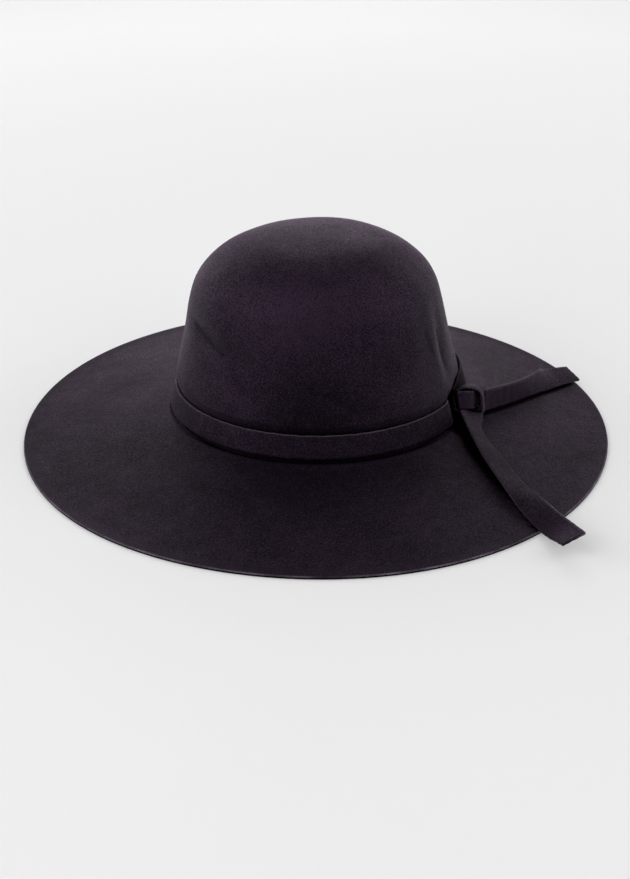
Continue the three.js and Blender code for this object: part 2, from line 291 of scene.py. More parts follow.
BAND_TOP_LINE = (1.0, 2.8)  # the painted shade in a line over the band ends between these rises
BAND_TOP_DARKNESS = 0.5
BAND_FOOT_LINE = (1.6, 4.6)  # the painted shade in a line at its foot ends between these distances
BAND_FOOT_FRONT = (0.3, 0.75)  # and sets in towards the front between these sines of the azimuth
GAP_FROM = (-26, -23)  # the painted shade in the gap behind the knot: azimuths between which it sets in
GAP_TO = (-5, 0)  # and ends
GAP_TOP = (39, 45)
# painted shade on the lower half of the rim's cut edge
RIM_FOOT_DARKNESS = 0.8
UNDERSIDE = (0.1, 0.5)  # painted shade on a strip's skin sets in between these slopes downwards
UNDERSIDE_DARKNESS = 0.9

# Raw edges, lighter partly by their own fibres and partly by a painted highlight
RIM_LIGHT = 0.35
RIM_DIAGONAL_HIGHLIGHT = 0.35  # painted highlight added at the diagonals
RIM_LEAST_LIGHT = 0.1
RAW_EDGE = (0.91, 0.97)  # a strip's face turns into its raw edge between these shares of the half width

# Tone of the felt, partly how the wool's pile lies, lighter where it stands up and darker where it is
# pressed flat, and partly painted light and shade, such as the darker crown foot and crown top and the
# lighter brim behind the knot.
Patch = namedtuple("Patch", "x y z size tone")
BRIM_TONE = -0.2
BRIM_TONE_BLEND = 4
PATCHES = [
    Patch(-13, -72, 112, 22, 0.32),  # high on the crown's front
    Patch(4, -77, 98, 24, 0.10),
    Patch(0, -88, 50, 26, -0.40),  # painted shade at the crown's foot in front
    # painted shade on the crown's top
    Patch(0, 0, 141, 32, -0.20),
    Patch(20, -14, 139, 20, -0.10),
    Patch(6, -52, 127, 16, 0.16),
    Patch(86, -20, 95, 20, -0.15),
    Patch(112, 45, 14, 18, 0.26),  # painted light on the brim behind the knot
    Patch(130, 110, 6, 30, -0.15),
    Patch(-178, -28, 4, 35, -0.15),
    Patch(-125, 88, 9, 30, -0.10),
    Patch(0, -165, 5, 45, 0.08),
    Patch(-135, -10, 8, 30, 0.08),
    # painted shade on the brim in front
    Patch(0, -112, 14, 24, -0.18),
    Patch(62, -98, 14, 22, -0.15),
    Patch(118, 64, 10, 22, -0.10),
]

# Fineness of the surfaces
AROUND = 400
ROWS_PER_SECTION = 9
ROWS_PER_BANDED_SECTION = 3
BRIM_ROWS = 48
EDGE_ROWS = 7
INSIDE_STEP = 4  # the inside has one row for so many outside

# Grain of the felt, as noises about 0.5 for the shader. weight is how much each one moves the nap.
Grain = namedtuple("Grain", "scale detail roughness weight")
PATCHY = Grain(20.0, 3.0, 0.5, 0.55)
CLOUDY = Grain(110.0, 3.0, 0.6, 0.6)
FINE = Grain(1000.0, 4.0, 0.75, 4.6)
LINT = Grain(330.0, 1.0, 0.4, 0.5)
LINT_SHOWS = (0.76, 0.82)
NAP_LEVEL = 0.45
RAW_EDGE_LIFT = 0.35  # how much further the pile stands up at a raw edge: partly its own fibres, partly a painted highlight
RAW_EDGE_SHADES = (0.4, 1.7)  # its colour's darkest and lightest, as shares
RAW_EDGE_GRAIN = (0.3, 0.7)
BUMP_FINE = 0.8
BUMP_CLOUDY = 0.7
# The two ways that wool lies. depth is a share of the felt's colour.
Coat = namedtuple("Coat", "depth gloss haze")
FLAT_NAP = Coat(0.35, 0.06, 0.05)
RAISED_NAP = Coat(0.8, 0.31, 0.22)
# Painted shade: the colour of wool that no light reaches, as a share of the felt's colour
UNLIT_DEPTH = 0.15

# Softboxes round the hat, in metres. azimuth runs clockwise from behind it, and elevation up from the
# floor.
Softbox = namedtuple("Softbox", "azimuth elevation power")
SOFTBOXES = [
    Softbox(0, 22, 9.1),
    Softbox(45, 22, 8.0),
    Softbox(90, 22, 11.9),
    Softbox(135, 22, 7.0),
    Softbox(225, 22, 11.9),
    Softbox(270, 22, 13.3),
    Softbox(315, 22, 11.3),
    Softbox(0, 50, 6.3),
    Softbox(90, 50, 6.2),
    Softbox(135, 50, 4.9),
    Softbox(180, 50, 4.9),
    Softbox(225, 50, 8.5),
    Softbox(270, 50, 2.0),
]
SOFTBOX_DISTANCE = 2.2
SOFTBOX_SIDE = 1.3
SOFTBOX_TARGET = (0, 0, 0.05)
SOFTBOX_TINT = (1.0, 0.93, 1.0)

# Floor, backdrop and camera, in metres, with the camera's lens and sensor in millimetres
FLOOR_HALF = 6.0
FLOOR_FADE = (1.35, 1.95)  # the floor turns into the backdrop between these distances
BACKDROP_SEEN = 0.85  # how bright the backdrop is to the camera. It lights nothing.
AMBIENT = 0.02
WHITE = (1, 1, 1, 1)
CAMERA_PLACE = (-0.00085, -0.9009, 0.4544)
CAMERA_DOWN = 27.424  # how far it looks down
CAMERA_LENS = 58.80
CAMERA_SENSOR = 36
CAMERA_CLIP = 0.05


class CapelineSizes(bpy.types.PropertyGroup):
    felt_thickness: FloatProperty(
        name="Felt thickness", description="Thickness of the crown and the brim",
        default=2.0 * MM, min=0.5 * MM, unit="LENGTH")
    strip_thickness: FloatProperty(
        name="Strip thickness", description="Thickness of the band, the knot and the tails",
        default=1.8 * MM, min=0.5 * MM, unit="LENGTH")
    strip_width: FloatProperty(
        name="Strip width", description="Width that the band and the tails are cut to",
        default=16.5 * MM, min=5 * MM, unit="LENGTH")
    brim_radius: FloatProperty(
        name="Brim radius", description="From the crown's axis to the rim, at the back",
        default=BODY_HIGH.y, min=0.1, unit="LENGTH")
    undulation: FloatProperty(
        name="Undulation", description="How far the hand-blocked felt swells and sinks",
        default=0.35 * MM, min=0, unit="LENGTH")


class CapelineColours(bpy.types.PropertyGroup):
    body: FloatVectorProperty(
        name="Body felt", description="Colour of the dyed wool", subtype="COLOR",
        size=3, min=0, max=1, default=(0.0090, 0.0062, 0.0110))
    strip: FloatVectorProperty(
        name="Strip felt", description="Colour of the band, knot and tails", subtype="COLOR",
        size=3, min=0, max=1, default=(0.0085, 0.0060, 0.0104))
    fuzz: FloatVectorProperty(
        name="Fuzz", description="Tint of the fine fibres that catch the light", subtype="COLOR",
        size=3, min=0, max=1, default=(0.94, 0.61, 1.0))
    # The raw edge's colour is partly its own lighter fibres and partly a painted highlight.
    cut_edge_tone_and_highlight: FloatVectorProperty(
        name="Cut edge", description="Colour of the felt's raw cut edge", subtype="COLOR",
        size=3, min=0, max=1, default=(0.110, 0.098, 0.114))
    floor: FloatVectorProperty(
        name="Floor", description="Colour of the pale floor", subtype="COLOR",
        size=3, min=0, max=1, default=(0.850, 0.911, 0.851))


def sizes():
    """The user's sizes, in metres."""
    return bpy.context.scene.capeline_sizes


def colours():
    """The user's colours, linear."""
    return bpy.context.scene.capeline_colours


# Shapes

def unit(vectors):
    """Vectors of length 1: each divided by its own length."""
    return vectors / np.linalg.norm(vectors, axis=-1, keepdims=True)


def step_lengths(path):
    """Lengths of the straight steps between a path's points."""
    return np.linalg.norm(np.diff(path, axis=0), axis=1)


def oval_share(azimuth):
    """Radius of the crown's oval at an azimuth a, as a share of its half width: 1 / length of (cos a, sin
    a / ratio)."""
    return 1 / np.hypot(np.cos(azimuth), np.sin(azimuth) / CROWN_DEPTH_RATIO)


def rim_radius(azimuth):
    """Radius of the rim at an azimuth a: a circle's, and a wave -cos 4 a that dies away to the back."""
    wave = -np.cos(4 * (azimuth - math.radians(RIM_WAVE_AZIMUTH)))
    return sizes().brim_radius / MM + RIM_WAVE * wave * (1 - np.sin(azimuth)) / 2


def brim_height_at(share):
    """Height of the brim's upper face at a share s of the way to the rim: the felt's thickness, and over
    it the break's rise times (1 - s) to a power, with the 1 - s of the flat rim taken off."""
    felt = sizes().felt_thickness / MM
    climb = np.maximum(0, (1 - np.maximum(0, share) - FLAT_RIM_SHARE) / (1 - FLAT_RIM_SHARE))
    return felt + (BREAK_HEIGHT - felt) * climb ** BRIM_RISE_POWER


def brim_height(x, y):
    """Height of the brim's upper face over a place, by its share of the way from the break to the rim."""
    azimuth = np.arctan2(y, x)
    inner = BREAK_RADIUS * oval_share(azimuth)
    return brim_height_at((np.hypot(x, y) - inner) / (rim_radius(azimuth) - inner))


def cubic(start, end, start_slope, end_slope, t):
    """The cubic with these values and slopes at t = 0 and t = 1: start + slope t + A t squared + B t
    cubed, where A and B are what the end's value and slope ask for."""
    step = end - start
    square = 3 * step - 2 * start_slope - end_slope
    return start + start_slope * t + square * t**2 + (-2 * step + start_slope + end_slope) * t**3


def smooth_path(points, share):
    """A centripetal Catmull-Rom curve through points, at shares 0 to 1 of its knots: each span is a cubic
    whose end slopes come from the spans beside it, weighted by the square roots of their lengths."""
    points = np.asarray(points, float)
    last = len(points) - 1
    padded = np.vstack([2 * points[0] - points[1], points, 2 * points[-1] - points[-2]])
    place = np.asarray(share, float) * last
    span = np.clip(np.floor(place).astype(int), 0, last - 1)
    a, b, c, d = (padded[span + k] for k in range(4))
    before, here, after = (
        np.linalg.norm(far - near, axis=1, keepdims=True) ** 0.5 for near, far in ((a, b), (b, c), (c, d))
    )
    start = ((b - a) / before - (c - a) / (before + here) + (c - b) / here) * here
    end = ((c - b) / here - (d - b) / (here + after) + (d - c) / after) * here
    return cubic(b, c, start, end, (place - span)[:, None])


def smooth_values(values, share):
    """A uniform Catmull-Rom curve through numbers, at shares 0 to 1: each span's end slopes are half the
    steps between the numbers on both sides."""
    values = np.asarray(values, float)
    last = len(values) - 1
    padded = np.concatenate([values[:1], values, values[-1:]])
    place = np.asarray(share, float) * last
    span = np.clip(np.floor(place).astype(int), 0, last - 1)
    a, b, c, d = (padded[span + k] for k in range(4))
    return cubic(b, c, (c - a) / 2, (d - b) / 2, place - span)


def straight_values(values, share):
    """Straight lines through numbers that are spread evenly over the shares 0 to 1, as one column."""
    return np.interp(share, np.linspace(0, 1, len(values)), values)[:, None]


def smoothstep(value, low, high):
    """0 below low, 1 above high, and between them 3 t squared - 2 t cubed of the share t of the way."""
    t = np.clip((value - low) / (high - low), 0, 1)
    return t * t * (3 - 2 * t)


def swell(points, noise, seed=0):
    """Soft noise from -1 to 1: the mean of sine waves in random directions, with lengths about the
    noise's, brought up to its usual peak."""
    random = np.random.default_rng(noise.seed + seed)
    direction = unit(random.normal(size=(NOISE_WAVES, 3)))
    pace = 2 * np.pi / (noise.wavelength * random.uniform(*NOISE_SPREAD, NOISE_WAVES))
    phase = random.uniform(0, 2 * np.pi, NOISE_WAVES)
    waves = np.sin(points @ (direction * pace[:, None]).T + phase)
    return waves.mean(axis=-1) * math.sqrt(NOISE_WAVES) / NOISE_PEAK


def wall_turn(azimuth, middle, radius):
    """Distance round the wall from an azimuth in degrees: the radius times the turn, the short way."""
    turn = azimuth - math.radians(middle)
    return radius * np.arctan2(np.sin(turn), np.cos(turn))


def dent_shape(dent, azimuth, height, radius):
    """One dent's depth, a Gaussian of the distances along and across it, as shares of its half sizes."""
    around = wall_turn(azimuth, dent.azimuth, radius)
    rise = height - dent.height
    lean = math.radians(dent.lean)
    along = (around * math.cos(lean) + rise * math.sin(lean)) / dent.along
    across = (rise * math.cos(lean) - around * math.sin(lean)) / dent.across
    return dent.depth * np.exp(-(along**2 + across**2) / 2)


def line_distance(points, line):
    """Distance of each point p of a grid from a line with corners: the least over its spans of the length
    of p - a - t (b - a), with t, the foot of the perpendicular, held between 0 and 1."""
    line = np.asarray(line, float)
    least = np.full(points.shape[:-1], np.inf)
    for a, b in zip(line[:-1], line[1:]):
        t = np.clip((points - a) @ (b - a) / np.dot(b - a, b - a), 0, 1)
        least = np.minimum(least, np.linalg.norm(points - a - t[..., None] * (b - a), axis=-1))
    return least


def crease_shape(crease, azimuth, height, radius):
    """Share of a crease at each place, a Gaussian of the distance from its path on the unrolled wall."""
    start = crease.path[0][0]
    place = np.stack(np.broadcast_arrays(wall_turn(azimuth, start, radius), height), axis=-1)
    heights, radii, _ = zip(*reversed(CROWN_SECTIONS))
    line = [
        (np.interp(rise, heights, radii) * math.radians(degrees - start), rise)
        for degrees, rise in crease.path
    ]
    return np.exp(-(line_distance(place, line) / crease.width) ** 2)


def dent_depth(azimuth, height, radius):
    """Sum of the dents' and the creases' depths, none under the band but the knot's pinch."""
    depth = sum(dent_shape(dent, azimuth, height, radius) for dent in CROWN_DENTS)
    depth = depth + sum(crease.depth * crease_shape(crease, azimuth, height, radius) for crease in CREASES)
    fade = smoothstep(height, DENT_FREE_HEIGHT, DENT_FREE_HEIGHT + DENT_FADE)
    return depth * fade + dent_shape(KNOT_PINCH, azimuth, height, radius)


def crown_rows():
    """Sections from just off the top to the wall's foot: a smooth path down the crown, then straight
    steps under the band."""
    steps = (len(CROWN_SECTIONS) - 1) * ROWS_PER_SECTION
    smooth = smooth_path(CROWN_SECTIONS, np.arange(1, steps + 1) / steps)
    knots = np.array([CROWN_SECTIONS[-1], *BANDED_SECTIONS], float)
    places = np.linspace(0, len(knots) - 1, ROWS_PER_BANDED_SECTION * (len(knots) - 1) + 1)[1:]
    banded = np.stack([np.interp(places, np.arange(len(knots)), column) for column in knots.T], axis=1)
    return np.vstack([smooth, banded])


def outer_felt():
    """Grids of the upper face, rows from the crown's top to the rim and columns round the hat, in
    millimetres. A crown row is its section's oval, less the dents. A brim row has a radius between the
    wall's foot and the rim, and the brim's height there, less a valley that dies away from the foot as an
    exponential."""
    azimuth = np.linspace(0, 2 * np.pi, AROUND, endpoint=False)[None, :]
    height, radius, shift = (column[:, None] for column in crown_rows().T)
    reach = radius * oval_share(azimuth) - dent_depth(azimuth, height, radius)
    crown = np.stack([
        shift + reach * np.cos(azimuth), reach * np.sin(azimuth), np.broadcast_to(height, reach.shape),
    ], axis=-1)
    foot = FOOT_RADIUS * oval_share(azimuth)
    inner = BREAK_RADIUS * oval_share(azimuth)
    rim = rim_radius(azimuth)
    flat = inner + (rim - inner) * (1 - FLAT_RIM_SHARE)
    slope_share = np.linspace(0, 1, BRIM_ROWS)[:, None] ** BRIM_ROW_POWER
    flat_share = np.array(FLAT_RIM_ROWS)[:, None]
    reach = np.concatenate([foot + (flat - foot) * slope_share, flat + (rim - flat) * flat_share])
    valley = VALLEY_DEPTH * np.exp((foot - reach) / VALLEY_REACH)
    brim = np.stack([
        BAND_TOP.shift * (rim - reach) / (rim - inner) + reach * np.cos(azimuth), reach * np.sin(azimuth),
        brim_height_at((reach - inner) / (rim - inner)) - valley,
    ], axis=-1)
    return crown, brim


def grid_normals(grid, pole):
    """Outward normals of a grid of rings: the downhill step crossed with the step round the hat."""
    above = np.concatenate([np.broadcast_to(pole, grid[:1].shape), grid[:-1]])
    below = np.concatenate([grid[1:], grid[-1:]])
    round_it = np.roll(grid, -1, axis=1) - np.roll(grid, 1, axis=1)
    return unit(np.cross(below - above, round_it))


def crown_shade(points):
    """Painted shade on the crown's outside, the greatest of its creases', of a line along the band's top,
    and of the gap behind the knot. The last two are smooth steps of height and azimuth."""
    azimuth = np.arctan2(points[..., 1], points[..., 0])
    height = points[..., 2]
    radius = np.hypot(points[..., 0], points[..., 1] / CROWN_DEPTH_RATIO)
    low, high = (BAND_TOP.height + rise for rise in BAND_TOP_LINE)
    dark = BAND_TOP_DARKNESS * (1 - smoothstep(height, low, high))
    for crease in CREASES:
        dark = np.maximum(dark, crease.darkness * crease_shape(crease, azimuth, height, radius))
    degrees = np.degrees(azimuth)
    gap = smoothstep(degrees, *GAP_FROM) * (1 - smoothstep(degrees, *GAP_TO))
    return np.maximum(dark, gap * (1 - smoothstep(height, *GAP_TOP)))


def brim_shade(points):
    """Painted shade on the brim's upper face, the greatest of a line along the band's foot in front, and of
    the painted shadows of the knot, the band and the tails, each a smooth step of the distance from its
    line."""
    x, y = points[..., 0], points[..., 1]
    azimuth = np.arctan2(y, x)
    beyond = np.hypot(x - BAND_BOTTOM.shift, y) - BAND_BOTTOM.radius * oval_share(azimuth)
    dark = (1 - smoothstep(beyond, *BAND_FOOT_LINE)) * smoothstep(-np.sin(azimuth), *BAND_FOOT_FRONT)
    for shadow in (LOOP_SHADOW, GAP_SHADOW, LIFTED_BAND_SHADOW, FRONT_TAIL_SHADOW, REAR_TAIL_SHADOW):
        distance = line_distance(points[..., :2], shadow.line)
        dark = np.maximum(dark, 1 - smoothstep(distance, shadow.reach, shadow.reach + shadow.fade))
    return dark


def felt_tone(points):
    """How light the felt's tone is, partly the wool's pile and partly painted light and shade: the brim's
    tone, and the patches', each a Gaussian of the distance from its middle."""
    reach = np.hypot(points[..., 0], points[..., 1])
    tone = BRIM_TONE * smoothstep(reach, BREAK_RADIUS - BRIM_TONE_BLEND, BREAK_RADIUS + BRIM_TONE_BLEND)
    for patch in PATCHES:
        distance = np.linalg.norm(points - patch[:3], axis=-1)
        tone = tone + patch.tone * np.exp(-(distance / patch.size) ** 2 / 2)
    return tone


def felt_swell(points):
    """How far the upper face swells out or sinks: two noises, each over its own part of the felt."""
    reach = np.hypot(points[..., 0], points[..., 1])
    on_crown = smoothstep(points[..., 2], *CROWN_SWELL_FROM)
    on_brim = smoothstep(reach, *BRIM_SWELL_FROM) * (1 - smoothstep(reach, *BRIM_SWELL_TO))
    deep = sizes().undulation / MM
    crown = CROWN_SWELL.depth * deep * on_crown * swell(points, CROWN_SWELL)
    return crown + BRIM_SWELL.depth * deep * on_brim * swell(points, BRIM_SWELL)


def rim_tone_and_highlight(rim):
    """How light the rim's raw edge is, partly its own lighter fibres and partly a painted highlight: a
    level, more at the diagonals, as |sin 2 a|, and flecks.
    """
    azimuth = np.linspace(0, 2 * np.pi, AROUND, endpoint=False)
    flecks = RIM_LIGHT_FLECKS.depth * swell(rim, RIM_LIGHT_FLECKS)
    light = RIM_LIGHT + RIM_DIAGONAL_HIGHLIGHT * np.abs(np.sin(2 * azimuth)) + flecks
    return np.clip(light, RIM_LEAST_LIGHT, 1)


def felt_grid():
    """The whole skin of crown and brim, from the top outside to the top inside, with its two poles, its
    marks and its outer rows. The under face is the upper one moved in along its normals by the felt's
    thickness, or straight down at the flat rim, and the cut edge is a half round between them. "cut" is how
    light a raw edge is, partly its own lighter fibres and partly a painted highlight; the tone mark is
    partly how the wool's pile lies and partly painted light and shade; and "shade" is painted shade, where
    the light is shut off."""
    felt = sizes().felt_thickness / MM
    crown, brim = outer_felt()
    upper = np.concatenate([crown, brim])
    pole = np.array([CROWN_SECTIONS[0].shift, 0, CROWN_SECTIONS[0].height])
    upper = upper + grid_normals(upper, pole) * felt_swell(upper)[..., None]
    under = upper - felt * grid_normals(upper, pole)
    flat_from = len(upper) - len(FLAT_RIM_ROWS) - 1
    under[flat_from:] = upper[flat_from:] - np.array([0, 0, felt])
    rim = upper[-1:, :]
    turn = np.linspace(0, np.pi, EDGE_ROWS + 2)[1:-1, None]
    fray = swell(rim[0] + [0, 0, RIM_FRAY_LEVEL], RIM_FRAY)[None, :]
    lip = RIM_BULGE * np.sin(turn) + RIM_FRAY.depth * fray * np.sin(turn)
    edge = rim + unit(rim * [1, 1, 0]) * lip[..., None]
    edge[..., 2] = felt * (1 + np.cos(turn)) / 2
    skin = np.concatenate([upper, edge, under[::-1][::INSIDE_STEP]])

    edge_middle = len(upper) + EDGE_ROWS // 2
    outer_rows = len(upper) + EDGE_ROWS
    cut = np.zeros(skin.shape[:2])
    # The rim's raw edge: its own lighter fibres and a painted highlight.
    cut[len(upper) - 1:edge_middle] = rim_tone_and_highlight(rim[0])
    # Painted shade on the crown and the brim, and on the lower half of the rim's cut edge.
    shade = np.zeros(skin.shape[:2])
    shade[:len(crown)] = crown_shade(upper[:len(crown)])
    shade[len(crown):len(upper)] = brim_shade(upper[len(crown):])
    shade[edge_middle:outer_rows + 1] = RIM_FOOT_DARKNESS
    marks = {"cut": cut, "nap_and_painted_light": felt_tone(skin), "shade": shade}
    return skin, pole, pole - np.array([0, 0, felt]), marks, outer_rows


def mesh_piece(name, points, faces, attributes, material):
    """A smooth mesh object from points in metres, rows of corner numbers, and numbers for each point."""
    mesh = bpy.data.meshes.new(name)
    mesh.from_pydata(points.reshape(-1, 3).tolist(), [], faces)
    for label, values in attributes.items():
        attribute = mesh.attributes.new(label, "FLOAT", "POINT")
        attribute.data.foreach_set("value", np.ravel(values).astype(np.float32))
    mesh.shade_smooth()
    mesh.materials.append(material)
    mesh.update()
    piece = bpy.data.objects.new(name, mesh)
    bpy.context.scene.collection.objects.link(piece)
    return piece


def tube_faces(rows, columns, first):
    """Quads between neighbouring rows of a grid that closes round its columns: the corner in row i and
    column j has the number first + i columns + j."""
    row, column = np.meshgrid(np.arange(rows - 1), np.arange(columns), indexing="ij")
    after = (column + 1) % columns
    here, below = row * columns, (row + 1) * columns
    corner = first + np.stack([here + column, below + column, below + after, here + after], axis=-1)
    return corner.reshape(-1, 4).tolist()


def capped_tube(name, grid, start, end, attributes, material):
    """A closed piece: a grid of rings, a point at each end, and fans of triangles round those points."""
    rows, columns = grid.shape[:2]
    points = np.vstack([start[None], grid.reshape(-1, 3), end[None]]) * MM
    faces = tube_faces(rows, columns, 1)
    ring = np.arange(columns)
    after = (ring + 1) % columns
    last = 1 + (rows - 1) * columns
    faces += np.stack([np.zeros(columns, int), 1 + ring, 1 + after], axis=1).tolist()
    faces += np.stack([np.full(columns, len(points) - 1), last + after, last + ring], axis=1).tolist()
    filled = {
        label: np.concatenate([[values[0].mean()], values.ravel(), [values[-1].mean()]])
        for label, values in attributes.items()
    }
    return outward(mesh_piece(name, points, faces, filled, material))


def outward(piece):
    """Turns a closed piece's faces round if the volume that they enclose, the sum of a . (b x c) over the
    triangles, is negative."""
    mesh = piece.data
    mesh.calc_loop_triangles()
    corners = np.empty(3 * len(mesh.loop_triangles), np.int32)
    mesh.loop_triangles.foreach_get("vertices", corners)
    place = np.empty(3 * len(mesh.vertices), np.float32)
    mesh.vertices.foreach_get("co", place)
    a, b, c = place.reshape(-1, 3)[corners].astype(float).reshape(-1, 3, 3).transpose(1, 0, 2)
    if np.einsum("ij,ij->", a, np.cross(b, c)) < 0:
        mesh.flip_normals()
    return piece


def strip_profile(thickness, width):
    """The strip's section: a flat bar with rounded edges, as shares of its half width and of its half
    thickness. It runs across the upper face, down the right edge, back across the under face, and along
    the left edge, also from top to bottom, so that the left edge is folded within its thickness."""
    corner = CORNER_SHARE * thickness / (width / 2)
    across = np.linspace(-1 + corner, 1 - corner, FACE_STEPS)
    turn = np.linspace(np.pi / 2, -np.pi / 2, ROUND_STEPS + 2)[1:-1]
    round_x = 1 - corner + corner * np.cos(turn)
    round_y = np.sin(turn) * (1 - EDGE_FLATNESS + EDGE_FLATNESS * np.abs(np.sin(turn)))
    x = np.concatenate([across, round_x, across[::-1], -round_x[::-1]])
    y = np.concatenate([np.ones(FACE_STEPS), round_y, -np.ones(FACE_STEPS), round_y])
    return x, y


def strip_frame(centre, edge):
    """Directions of a strip at each of its sections: along it, and out of its upper face, which is the
    first crossed with the half-width vector."""
    run = unit(np.gradient(centre, axis=0))
    return run, unit(np.cross(run, edge))


def strip_sides(strip, centre, edge, x, y):
    """Grid of a strip without its ends: point(s, a) = centre(s) + x(a) edge(s) + y(a) half the thickness
    times normal(s), where x, y are the section's. The sides fray, the thickness swells, wrinkles are sine
    waves along the normal that slant across the strip, and the first end is skewed along the run by an
    exponential."""
    half = sizes().strip_thickness / MM / 2
    half_width = np.linalg.norm(edge, axis=1).mean()
    run, normal = strip_frame(centre, edge)
    length = np.concatenate([[0], np.cumsum(step_lengths(centre))])
    along = np.stack([length, np.zeros_like(length), np.zeros_like(length)], axis=1)
    wander = 1 + strip.fray / half_width * np.stack([
        swell(along + [0, SIDE_FRAY_APART * side, 0], SIDE_FRAY, strip.seed + side) for side in (0, 1)
    ], axis=1)
    reach = np.where(x[None, :] > 0, wander[:, :1], wander[:, 1:])
    uneven = STRIP_THICKNESS_SWELL.depth * swell(along, STRIP_THICKNESS_SWELL, strip.seed)
    thick = half * (1 + uneven[:, None])
    window = smoothstep(length, *RIPPLE_FROM) * (1 - smoothstep(length, *RIPPLE_TO))
    waves = np.sin(2 * np.pi * (length[:, None] / RIPPLE_LENGTH - RIPPLE_LEAN * x[None, :]))
    wrinkle = strip.ripple * window[:, None] * waves
    skew = strip.slant * np.exp(-length / SLANT_REACH)[:, None] * x[None, :]
    return (
        centre[:, None]
        + (x[None, :] * reach)[..., None] * edge[:, None]
        + (y[None, :] * thick + wrinkle)[..., None] * normal[:, None]
        + skew[..., None] * run[:, None]
    )


def strip_end(strip, ring, middle, outwards, across, row):
    """Rings that close a strip's end, and its last point: each ring is the end's own, drawn in to the
    middle and moved outwards, with a ragged edge."""
    ragged = END_FRAY.depth * swell(across, END_FRAY, strip.seed + row)[:, None]
    rings = [
        middle + (ring - middle) * step.size + outwards * (step.out + ragged * step.frayed)
        for step in END_RINGS
    ]
    return rings, middle + outwards * END_RINGS[-1].out


def strip_marks(strip, centre, edge, x, y):
    """The marks of a strip, its ends' rings among them. "cut" is light at the raw edges and ends, partly
    their own lighter fibres and partly a painted highlight. "shade" is painted shade: dark where the skin
    faces down, by how far the section's outward direction sinks, and where the strip's own row says so. The
    tone mark is the strip's tone, partly how the wool's pile lies and partly painted light and shade."""
    more = len(END_RINGS)
    _, normal = strip_frame(centre, edge)
    length = np.concatenate([[0], np.cumsum(step_lengths(centre))])
    share = np.pad(length / length[-1], more, mode="edge")
    row = np.arange(len(share))[:, None]
    left_light, right_light = strip.light_edges
    cut = smoothstep(np.abs(x), *RAW_EDGE)[None, :] * np.where(x > 0, right_light, left_light)
    cut = np.maximum(cut, strip.light_ends[0] * (row <= more))
    cut = np.maximum(cut, strip.light_ends[1] * (row >= len(share) - 1 - more))
    out_of_edge = np.where(np.abs(x) > RAW_EDGE[0], x, 0)
    rise = normal[:, 2:] * y[None, :] + unit(edge)[:, 2:] * out_of_edge[None, :]
    rise = np.pad(rise, ((more, more), (0, 0)), mode="edge")
    shade = UNDERSIDE_DARKNESS * smoothstep(-rise, *UNDERSIDE)
    shade = np.maximum(shade, straight_values(strip.dark, share))
    return {"cut": cut, "nap_and_painted_light": straight_values(strip.tone, share) + np.zeros_like(shade), "shade": shade}


def felt_strip(strip, stations):
    """One stretch of the strip, with its fuzz, in place of its CAD node."""
    centre, edge = stations
    half_width = np.linalg.norm(edge, axis=1).mean()
    x, y = strip_profile(sizes().strip_thickness / MM, 2 * half_width)
    sides = strip_sides(strip, centre, edge, x, y)
    run, _ = strip_frame(centre, edge)
    across = np.stack([x * half_width, y, np.zeros_like(x)], axis=1)
    first, first_point = strip_end(strip, sides[0], centre[0], -run[0], across, 0)
    last, last_point = strip_end(strip, sides[-1], centre[-1], run[-1], across, -1)
    grid = np.concatenate([first[::-1], sides, last])
    marks = strip_marks(strip, centre, edge, x, y)
    piece = capped_tube(strip.name, grid, first_point, last_point, marks, strip_felt())
    settle(piece, strip.node)
    weight = 1 + EDGE_FIBRES * marks["cut"]
    seed = strip.seed + STRIP_FUZZ_SEED
    hairs = fuzz(strip.name + "_fuzz", grid, weight, strip.fibres, seed, strip_felt())
    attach(hairs, "root")


